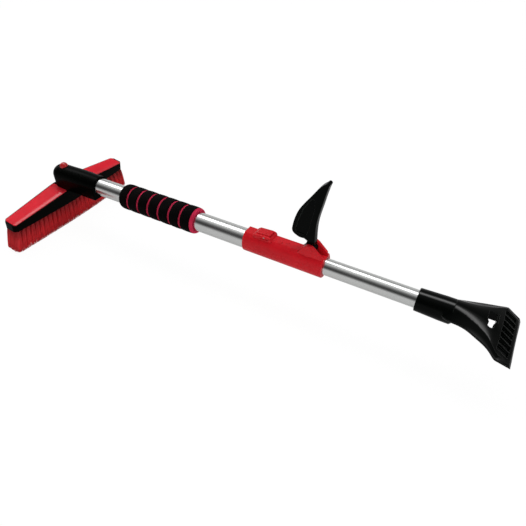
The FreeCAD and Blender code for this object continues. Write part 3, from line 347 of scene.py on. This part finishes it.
def bristle_look(name, dark, light):
    """Drawn bristles: each strand has its own tone, and a painted shade darkens it towards the root."""
    look = Look(name)
    strand = look.add("ShaderNodeAttribute", attribute_name="tone").outputs["Fac"]
    along = look.add("ShaderNodeAttribute", attribute_name="along").outputs["Fac"]
    body = look.blend(strand, dark, light)
    # Painted shade: strands darken towards the root, deep among the tufts.
    body = look.blend(look.remap(along, 0.0, 0.55), scaled(dark, 0.25), body)
    fine = look.noise(1800.0, 2.0, 0.5)
    look.bump(fine, 0.02 * MM, 0.4)
    look.set(color=body, rough=look.remap(fine, 0.3, 0.7, 0.32, 0.5), specular=0.4)
    return look


RED_COVER = (0.95, 0.030, 0.050)
RED_BUTTON = (0.62, 0.020, 0.022)
RED_COLLAR = (0.78, 0.012, 0.022)
RED_LIGHT = (0.85, 0.16, 0.16)
BLACK = (0.0014, 0.0019, 0.0016)
BLACK_HOUSING = (0.0010, 0.0014, 0.0010)
BLACK_BLOCK = (0.0012, 0.0016, 0.0012)
BLACK_LIGHT = (0.022, 0.022, 0.022)
# Light grey for the edges and crests of the lever and scraper: a painted highlight.
PAINTED_EDGE_HIGHLIGHT = (0.10, 0.11, 0.105)
ACETAL = (0.62, 0.62, 0.58)
ACETAL_LIGHT = (0.8, 0.8, 0.78)

ALUMINIUM = drawn_metal("aluminium_tube", (0.86, 0.87, 0.86), 0.17)
STEEL = plated_steel("steel", (0.58, 0.58, 0.57), 0.32)
SPRING_STEEL = plated_steel("spring_steel", (0.36, 0.36, 0.37), 0.28)
HOUSING = moulded("housing_black", BLACK_HOUSING, BLACK_LIGHT, 0.30, 900.0, 0.014, specular=0.02)
BLOCK = moulded("block_black", BLACK_BLOCK, BLACK_LIGHT, 0.30, 800.0, 0.014, specular=0.02)
COVER = moulded("cover_red", RED_COVER, RED_LIGHT, 0.13, 150.0, 0.006, edge_rub_and_highlight=0.2)
crowned_cover(COVER)
BUTTON = moulded("button_red", RED_BUTTON, RED_LIGHT, 0.20, 200.0, 0.010, edge_rub_and_highlight=0.2)
COLLAR = moulded("collar_red", RED_COLLAR, RED_LIGHT, 0.28, 500.0, 0.014, specular=0.20, edge_rub_and_highlight=0.2)
# Lever and scraper: strongly lightened edges and crests, a painted highlight.
LEVER = moulded("lever_black", BLACK, PAINTED_EDGE_HIGHLIGHT, 0.14, 420.0, 0.008, specular=0.05, edge_rub_and_highlight=0.9, edge=0.6)
SCRAPER = moulded("scraper_black", BLACK, PAINTED_EDGE_HIGHLIGHT, 0.11, 260.0, 0.006, edge_rub_and_highlight=0.7, edge=1.3)
# Painted highlight: the scraper is more reflective only on faces leaning about 76 degrees, where the
# overhead strip is mirrored.
SCRAPER.set(specular=SCRAPER.math("MULTIPLY_ADD", SCRAPER.leaning(76.0, 11.0), 0.45, 0.07))
LINER = moulded("liner_plastic", ACETAL, ACETAL_LIGHT, 0.5, 900.0, 0.01, specular=0.4)
FOAM_BLACK = foam("foam_black", (0.0015, 0.0012, 0.0013), (0.0036, 0.0028, 0.0028), 0.05)
FOAM_RED = foam("foam_red", (0.62, 0.022, 0.070), (0.78, 0.038, 0.11), 0.10)
BRISTLE = bristle_look("bristle_red", (0.68, 0.012, 0.018), (0.95, 0.032, 0.042))

STEEL_PARTS = (
    "crown_screw",
    "housing_screws",
    "collar_rivets",
    "rocker_pin",
    "lock_pin",
    "lever_pin",
    "scraper_rivets",
)
NODE_LOOKS = {
    ALUMINIUM: ("outer_tube", "inner_tube"),
    STEEL: STEEL_PARTS,
    SPRING_STEEL: ("retaining_ring", "button_spring", "rocker_spring"),
    HOUSING: ("pivot_housing",),
    BLOCK: ("brush_block",),
    COVER: ("cover_near", "cover_far"),
    BUTTON: ("brush_button",),
    COLLAR: ("lock_collar", "rocker_button"),
    LEVER: ("cam_lever",),
    SCRAPER: ("scraper_head",),
    LINER: ("tube_glide", "tube_bushing", "thrust_washer", "lock_crown", "clamp_shoe"),
    FOAM_BLACK: ("grip_bands",),
    FOAM_RED: ("grip_core",),
    BRISTLE: ("bristle_tufts",),
}
HARD_EDGE_DEGREES = 34.0
WELD_DISTANCE = 1e-6


def smooth_by_angle(obj, degrees):
    """Joins the split corners of a CAD mesh and keeps only its real edges hard."""
    weld = obj.modifiers.new("weld", "WELD")
    weld.merge_threshold = WELD_DISTANCE
    for polygon in obj.data.polygons:
        polygon.use_smooth = True
    split = obj.modifiers.new("hard_edges", "EDGE_SPLIT")
    split.split_angle = math.radians(degrees)


def paint(mesh, look):
    mesh.materials.clear()
    mesh.materials.append(look.material)


for look, names in NODE_LOOKS.items():
    for name in names:
        paint(nodes[name].data, look)
        smooth_by_angle(nodes[name], HARD_EDGE_DEGREES)


# ---- new pieces ----------------------------------------------------------------------------------
def smooth_mesh(name, points, faces):
    mesh = bpy.data.meshes.new(name)
    mesh.from_pydata(points, [], faces)
    mesh.polygons.foreach_set("use_smooth", [True] * len(mesh.polygons))
    return mesh


def stand_in(mesh, look, body, node):
    """Shows a mesh in the place of a CAD node, riding on the node's body."""
    piece = bpy.data.objects.new(mesh.name, mesh)
    bpy.context.scene.collection.objects.link(piece)
    paint(mesh, look)
    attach(piece, body)
    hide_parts(node)
    return piece


def islands(points, triangles):
    """Groups of points joined by triangles, as lists of point numbers."""
    parent = list(range(len(points)))

    def find(item):
        while parent[item] != item:
            parent[item] = parent[parent[item]]
            item = parent[item]
        return item

    for a, b, c in triangles:
        parent[find(a)] = find(b)
        parent[find(b)] = find(c)
    groups = {}
    for item in range(len(points)):
        groups.setdefault(find(item), []).append(item)
    return list(groups.values())


def welded(mesh):
    """Points and triangles of a mesh with doubled points joined."""
    places, numbers, points = {}, [], []
    for vertex in mesh.vertices:
        key = tuple(round(value / WELD_DISTANCE) for value in vertex.co)
        if key not in places:
            places[key] = len(points)
            points.append(tuple(vertex.co))
        numbers.append(places[key])
    mesh.calc_loop_triangles()
    triangles = [tuple(numbers[v] for v in t.vertices) for t in mesh.loop_triangles]
    return np.array(points), triangles


# ---- bristles ------------------------------------------------------------------------------------
STRAND_SEED = 7
STRAND_GRID = (7, 9)  # strands across and along one tuft
STRANDS_PER_TUFT = STRAND_GRID[0] * STRAND_GRID[1]
STRAND_RINGS = 6
STRAND_SIDES = 4
STRAND_ROOT_R = 0.34 * MM
STRAND_TIP_R = 0.46 * MM
STRAND_LEAN = 0.10 * MM
STRAND_SHUFFLE = 0.05  # as a share of half a tuft
STRAND_TONE = (0.5, 0.28)  # mean and spread
TIP_UNEVENNESS = 0.06 * MM
FLARE_POWER = 0.55  # below 1 a tuft spreads mostly near its root
TUFT_HALF_ROOT = 1.15 * MM
TUFT_HALF_TIP = np.array((5.4, 4.7)) * MM  # across and along the head
TUFT_END_DEPTH = 0.5 * MM
END_ROW_DEPTH = 1.0 * MM
CORNER_R = 9.0 * MM  # corners of the trimmed field, seen from below


def head_frame():
    """Rotation from the row frame to the brush head's own upright frame."""
    axis = Vector(joints["brush_pivot"]["axis"]).normalized()
    return np.array(axis.rotation_difference(Vector((0, 0, 1))).to_matrix())


def tuft_lines():
    """Root and tip centre of every CAD tuft, in the brush head's own frame."""
    points, triangles = welded(nodes["bristle_tufts"].data)
    points = points @ head_frame().T
    lines = []
    for group in islands(points, triangles):
        own = points[group]
        height = own[:, 2]
        tip = own[height < height.min() + TUFT_END_DEPTH].mean(axis=0)
        root = own[height > height.max() - TUFT_END_DEPTH].mean(axis=0)
        lines.append((root, tip))
    lines.sort(key=lambda pair: (round(pair[0][1], 4), round(pair[0][0], 4)))
    return lines


def strand_grid():
    """Even places of the strands in one tuft, from -1 to 1 across and along the head."""
    across, along = ((np.arange(count) + 0.5) / count * 2 - 1 for count in STRAND_GRID)
    return np.array([(u, v) for u in across for v in along])


def field_corners(lines):
    """Middle of the head and reach of the bristle tips from it, across and along the head."""
    tips = np.array([tip[:2] for root, tip in lines])
    middle = (tips.min(axis=0) + tips.max(axis=0)) / 2
    away = np.abs(tips - middle)
    farthest = away[:, 1].max()
    end_rows = away[away[:, 1] > farthest - END_ROW_DEPTH]
    return middle, np.array((end_rows[:, 0].max(), farthest)) + TUFT_HALF_TIP


def rounded_in(spots, corners):
    """Draws the tips at the four corners of the head in, onto a rounded corner."""
    middle, reach = corners
    away = spots - middle
    inside = reach - CORNER_R
    over = np.maximum(np.abs(away) - inside, 0.0)
    in_corner = (over > 0).all(axis=1)
    shrink = over.max(axis=1) / np.maximum(np.linalg.norm(over, axis=1), 1e-9)
    drawn = np.sign(away) * (inside + over * shrink[:, None])
    return middle + np.where(in_corner[:, None], drawn, away)


def strand_ends(lines, random):
    """Root and tip of every strand, in the brush head's own frame."""
    cell = strand_grid()
    corners = field_corners(lines)
    roots, tips = [], []
    for root, tip in lines:
        spot = cell + random.uniform(-STRAND_SHUFFLE, STRAND_SHUFFLE, cell.shape)
        root_z = np.full(STRANDS_PER_TUFT, root[2])
        tip_z = tip[2] + random.normal(0.0, TIP_UNEVENNESS, STRANDS_PER_TUFT)
        roots.append(np.column_stack((root[:2] + spot * TUFT_HALF_ROOT, root_z)))
        tips.append(np.column_stack((rounded_in(tip[:2] + spot * TUFT_HALF_TIP, corners), tip_z)))
    return np.concatenate(roots), np.concatenate(tips)


def strand_centres(roots, tips, lean, share):
    """Middle line of every strand: it spreads soon after its root and waves a little."""
    span = (tips - roots)[:, None, :]
    spread = (share**FLARE_POWER)[None, :, None]
    wave = np.sin(share * math.pi * 1.5)[None, :, None]
    across = roots[:, None, :2] + span[:, :, :2] * spread + lean[:, None, :] * wave
    height = roots[:, None, 2:] + span[:, :, 2:] * share[None, :, None]
    return np.concatenate((across, height), axis=2)


def strand_faces(count):
    """Faces of closed four-sided strands, one after the other."""
    one = []
    for ring in range(STRAND_RINGS - 1):
        low, high = ring * STRAND_SIDES, (ring + 1) * STRAND_SIDES
        for side in range(STRAND_SIDES):
            after = (side + 1) % STRAND_SIDES
            one.append((low + side, high + side, high + after, low + after))
    last = (STRAND_RINGS - 1) * STRAND_SIDES
    one.append(tuple(range(STRAND_SIDES)))
    one.append(tuple(last + side for side in reversed(range(STRAND_SIDES))))
    size = STRAND_RINGS * STRAND_SIDES
    return [tuple(v + size * strand for v in face) for strand in range(count) for face in one]


def add_values(mesh, name, values):
    """Stores one number per point for the material."""
    layer = mesh.attributes.new(name, "FLOAT", "POINT")
    layer.data.foreach_set("value", values.astype(np.float32))


def strand_mesh():
    """Every strand of the head as its own closed shell, turned back to the row frame."""
    random = np.random.default_rng(STRAND_SEED)
    lines = tuft_lines()
    count = len(lines) * STRANDS_PER_TUFT
    lean = random.normal(0.0, STRAND_LEAN, (count, 2))
    roots, tips = strand_ends(lines, random)
    share = np.linspace(0.0, 1.0, STRAND_RINGS)
    centres = strand_centres(roots, tips, lean, share)
    thick = STRAND_ROOT_R + (STRAND_TIP_R - STRAND_ROOT_R) * share
    turn = np.arange(STRAND_SIDES) * 2 * math.pi / STRAND_SIDES
    ring = np.stack([np.cos(turn), np.sin(turn), np.zeros(STRAND_SIDES)], axis=1)
    points = centres[:, :, None, :] + ring * thick[None, :, None, None]
    points = points.reshape(-1, 3) @ head_frame()
    mesh = smooth_mesh("bristles", points.tolist(), strand_faces(count))
    tone = np.clip(random.normal(*STRAND_TONE, count), 0, 1)
    add_values(mesh, "tone", np.repeat(tone, STRAND_RINGS * STRAND_SIDES))
    add_values(mesh, "along", np.tile(np.repeat(share, STRAND_SIDES), count))
    return mesh


stand_in(strand_mesh(), BRISTLE, "brush_head", "bristle_tufts")

# ---- foam grip -----------------------------------------------------------------------------------
TUBE_Z = sum(corner.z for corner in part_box("outer_tube")) / 2
TUBE_BORE = 14.03 * MM
CORE_R = 18.4 * MM
CORE_GAP = 0.05 * MM
CORE_SKIN = 0.06 * MM
RIM_R = 19.2 * MM
RIM_INNER_ROUND = 0.5 * MM
RIM_OUTER_ROUND = 3.2 * MM
RIM_GAP = 0.02 * MM
BAND_SKIN = 0.10 * MM
BAND_ROUND = 1.4 * MM
LAST_BAND_ROUND = 1.0 * MM
CROWN_HEIGHT = 0.22 * MM
CROWN_ROOM = 0.2 * MM
GROOVE_INSET = 0.4 * MM
NOSE_LENGTH = 3.0 * MM
NOSE_LIP = 0.2 * MM
SKIN_SCALE_ALONG = 45.0
SKIN_SCALE_AROUND = 1.1
GRIP_SEGMENTS = 144
ROUND_STEPS = 6
CROWN_STEPS = 9


def turned_foam(profile, skin_depth):
    """Points and faces of a closed sleeve: (x, radius) turned about the tube, with an uneven skin."""
    points, faces = [], []
    for x, radius in profile:
        for segment in range(GRIP_SEGMENTS):
            angle = 2 * math.pi * segment / GRIP_SEGMENTS
            y, z = math.cos(angle), math.sin(angle)
            place = Vector((x * SKIN_SCALE_ALONG, y * SKIN_SCALE_AROUND, z * SKIN_SCALE_AROUND))
            skin = skin_depth * (noise.noise(place) + 0.5 * noise.noise(place * 3.1))
            grown = radius + (skin if radius > TUBE_BORE + 0.5 * MM else 0.0)
            points.append((x, y * grown, TUBE_Z + z * grown))
    for row in range(len(profile)):
        here = row * GRIP_SEGMENTS
        there = (row + 1) % len(profile) * GRIP_SEGMENTS
        for segment in range(GRIP_SEGMENTS):
            after = (segment + 1) % GRIP_SEGMENTS
            faces.append((here + segment, here + after, there + after, there + segment))
    return points, faces


def rounded_edge(x, outer, size, steps):
    """Points of the quarter circle from the end face at x to the outside. size is below 0 at a right end."""
    angles = [math.pi / 2 * step / ROUND_STEPS for step in steps]
    return [(x + size * (1 - math.cos(a)), outer - abs(size) * (1 - math.sin(a))) for a in angles]


def band_profile(start, end, inner, outer, left_round, right_round):
    """Cross-section of one crowned foam band, from the inside round the outside."""
    crown_start, crown_end = start + left_round, end - right_round
    profile = [(start, inner), (start, outer - left_round)]
    profile += rounded_edge(start, outer, left_round, range(1, ROUND_STEPS + 1))
    for step in range(1, CROWN_STEPS):
        share = step / CROWN_STEPS
        crown = CROWN_HEIGHT * math.sin(math.pi * share)
        profile.append((crown_start + share * (crown_end - crown_start), outer + crown))
    profile += rounded_edge(end, outer, -right_round, reversed(range(ROUND_STEPS + 1)))
    return profile + [(end, inner)]


def joined(shells):
    """Points and faces of several shells as one."""
    points, faces = [], []
    for own_points, own_faces in shells:
        base = len(points)
        points += own_points
        faces += [tuple(v + base for v in face) for face in own_faces]
    return points, faces


def band_spans():
    """Where each CAD band starts and ends along X."""
    points, triangles = welded(nodes["grip_bands"].data)
    along = [points[group][:, 0] for group in islands(points, triangles)]
    return sorted((float(x.min()), float(x.max())) for x in along)


def nose_band(start, end, outer):
    """The first band, which closes the grip's end down to the tube."""
    inner = CORE_R + CORE_GAP
    nose_end = start + NOSE_LENGTH
    profile = band_profile(start, end, inner, outer, outer - TUBE_BORE - NOSE_LIP, BAND_ROUND)
    return [(nose_end, inner), (nose_end, TUBE_BORE), (start, TUBE_BORE)] + profile[1:]


def grip_bands(spans):
    """The black bands, a little shorter than in the CAD so that the red grooves show."""
    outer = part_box("grip_bands")[1].z - TUBE_Z - CROWN_ROOM
    inner = CORE_R + CORE_GAP
    profiles = [nose_band(spans[0][0], spans[0][1] - GROOVE_INSET, outer)]
    for start, end in spans[1:-1]:
        ends = (start + GROOVE_INSET, end - GROOVE_INSET)
        profiles.append(band_profile(*ends, inner, outer, BAND_ROUND, BAND_ROUND))
    start, end = spans[-1]
    profiles.append(band_profile(start + GROOVE_INSET, end, inner, outer, BAND_ROUND, LAST_BAND_ROUND))
    return joined([turned_foam(profile, BAND_SKIN) for profile in profiles])


def grip_core(spans):
    """The red sleeve under the bands, with the thicker rim that shows at the right end."""
    start = spans[0][0] + NOSE_LENGTH + CORE_GAP
    rim_start = spans[-1][1] + RIM_GAP
    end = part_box("grip_core")[1].x
    rim = band_profile(rim_start, end, CORE_R, RIM_R, RIM_INNER_ROUND, RIM_OUTER_ROUND)
    profile = [(start, TUBE_BORE), (start, CORE_R), (rim_start, CORE_R)] + rim[1:-1] + [(end, TUBE_BORE)]
    return turned_foam(profile, CORE_SKIN)


SPANS = band_spans()
BAND_MESH = smooth_mesh("foam_bands", *grip_bands(SPANS))
CORE_MESH = smooth_mesh("foam_core", *grip_core(SPANS))
stand_in(BAND_MESH, FOAM_BLACK, "handle", "grip_bands")
stand_in(CORE_MESH, FOAM_RED, "handle", "grip_core")


# ---- coil springs --------------------------------------------------------------------------------
def live_spring(name, node, slim=1.0):
    """A slimmed copy of a coil that stands in for the CAD coil on the handle."""
    points, triangles = welded(nodes[node].data)
    middle = (points.min(axis=0) + points.max(axis=0))[:2] / 2
    points[:, :2] = middle + (points[:, :2] - middle) * slim
    mesh = smooth_mesh(name, points.tolist(), triangles)
    piece = stand_in(mesh, SPRING_STEEL, "handle", node)
    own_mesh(piece)


live_spring("button_coil", "button_spring")
live_spring("rocker_coil", "rocker_spring", slim=0.84)

# ---- studio --------------------------------------------------------------------------------------
FLOOR_HALF = 40.0
FLOOR_DROP = 1.0 * MM
FLOOR_SEEN = 1.04  # glow towards the camera
FLOOR_MIRRORED = 0.50  # glow in mirror images of the floor

# Brightness of the surroundings by angle about X: 0 is level behind the viewer, 90 is overhead.
PANELS = (
    (-180, 0.55),
    (0, 0.50),
    (8, 0.32),
    (18, 0.10),
    (27, 0.045),
    (40, 0.05),
    (52, 0.12),
    (64, 0.26),
    (76, 0.50),
    (90, 0.62),
    (95, 0.80),
    (102, 3.4),
    (115, 3.4),
    (123, 0.60),
    (135, 0.34),
    (155, 0.36),
    (168, 0.62),
)

FILL_PLACE = (0.85, -1.30, 0.55)
FILL_SIZE = (1.6, 0.9)
FILL_POWER = 8.0

CAMERA_PLACE = (0.29735, -0.44283, 0.48372)
CAMERA_HEADING = 29.9653  # degrees from +Y towards -X
CAMERA_DIP = 40.3195  # degrees below level
CAMERA_LENS = 32.45
SENSOR_WIDTH = 36.0


def floor_look():
    """Off-white floor that shows white to the camera and softly in mirrored views."""
    look = Look("floor_white")
    faint = look.remap(look.noise(2.0, 2.0), 0.3, 0.7, 0.74, 0.78)
    shade = look.add("ShaderNodeCombineColor")
    for part in shade.inputs:
        look.join(faint, part)
    look.set(color=shade.outputs[0], rough=0.9, specular=0.1)
    path = look.add("ShaderNodeLightPath").outputs
    mirrored = look.math("MULTIPLY", path["Is Glossy Ray"], 0.75)
    seen = look.math("MULTIPLY", path["Is Camera Ray"], 0.93)
    base = look.mixed(mirrored, look.shader.outputs[0], look.glow(FLOOR_MIRRORED))
    look.join(look.mixed(seen, base, look.glow(FLOOR_SEEN)), look.surface)
    return look


def make_floor():
    height = cad_low.z - FLOOR_DROP
    signs = ((-1, -1), (1, -1), (1, 1), (-1, 1))
    corners = [(x * FLOOR_HALF, y * FLOOR_HALF, height) for x, y in signs]
    mesh = bpy.data.meshes.new("floor")
    mesh.from_pydata(corners, [], [(0, 1, 2, 3)])
    paint(mesh, floor_look())
    floor = bpy.data.objects.new("floor", mesh)
    bpy.context.scene.collection.objects.link(floor)


def set_stops(elements, panels):
    """Fills a colour ramp over the full turn with grey levels."""
    while len(elements) > 1:
        elements.remove(elements[-1])
    for index, (degrees, level) in enumerate(panels):
        position = (degrees + 180) / 360
        element = elements[0] if index == 0 else elements.new(position)
        element.position = position
        element.color = rgba(scaled(WHITE, level))


def make_world():
    """Long soft panels that run along the tool, dimmer towards +X. The camera itself sees white."""
    world = bpy.data.worlds.new("studio")
    bpy.context.scene.world = world
    sky = Nodes(world)
    place = sky.add("ShaderNodeTexCoord").outputs["Generated"]
    ramp = sky.add("ShaderNodeValToRGB")
    sky.join(sky.remap(sky.lean(place), -math.pi, math.pi), ramp.inputs[0])
    set_stops(ramp.color_ramp.elements, PANELS)
    along = sky.apart(place)["X"]
    level = sky.add("ShaderNodeVectorMath", operation="SCALE")
    sky.join(ramp.outputs["Color"], level.inputs[0])
    dimming = sky.remap(along, 0.60, -0.10, 0.45, 1.0, interpolation_type="SMOOTHSTEP")
    sky.join(dimming, level.inputs["Scale"])
    seen = sky.add("ShaderNodeLightPath").outputs["Is Camera Ray"]
    background = sky.add("ShaderNodeBackground")
    sky.join(sky.blend(seen, level.outputs[0], WHITE), background.inputs["Color"])
    output = sky.add("ShaderNodeOutputWorld")
    sky.join(background.outputs[0], output.inputs["Surface"])


def make_fill():
    """Wide soft lamp behind the viewer that gives no reflections of its own."""
    data = bpy.data.lights.new("fill", "AREA")
    data.shape = "RECTANGLE"
    data.size, data.size_y = FILL_SIZE
    data.energy = FILL_POWER
    lamp = bpy.data.objects.new("fill", data)
    lamp.location = FILL_PLACE
    aim = Vector((0.0, 0.0, TUBE_Z)) - lamp.location
    lamp.rotation_euler = aim.to_track_quat("-Z", "Y").to_euler()
    lamp.visible_glossy = False
    bpy.context.scene.collection.objects.link(lamp)


def make_camera():
    data = bpy.data.cameras.new("camera")
    data.lens = CAMERA_LENS
    data.sensor_width = SENSOR_WIDTH
    data.clip_start = 0.01
    data.clip_end = 60.0
    camera = bpy.data.objects.new("camera", data)
    camera.location = CAMERA_PLACE
    camera.rotation_euler = (math.radians(90.0 - CAMERA_DIP), 0.0, math.radians(CAMERA_HEADING))
    bpy.context.scene.collection.objects.link(camera)
    bpy.context.scene.camera = camera


make_floor()
make_world()
make_fill()
make_camera()
bpy.context.scene.view_settings.view_transform = "Standard"
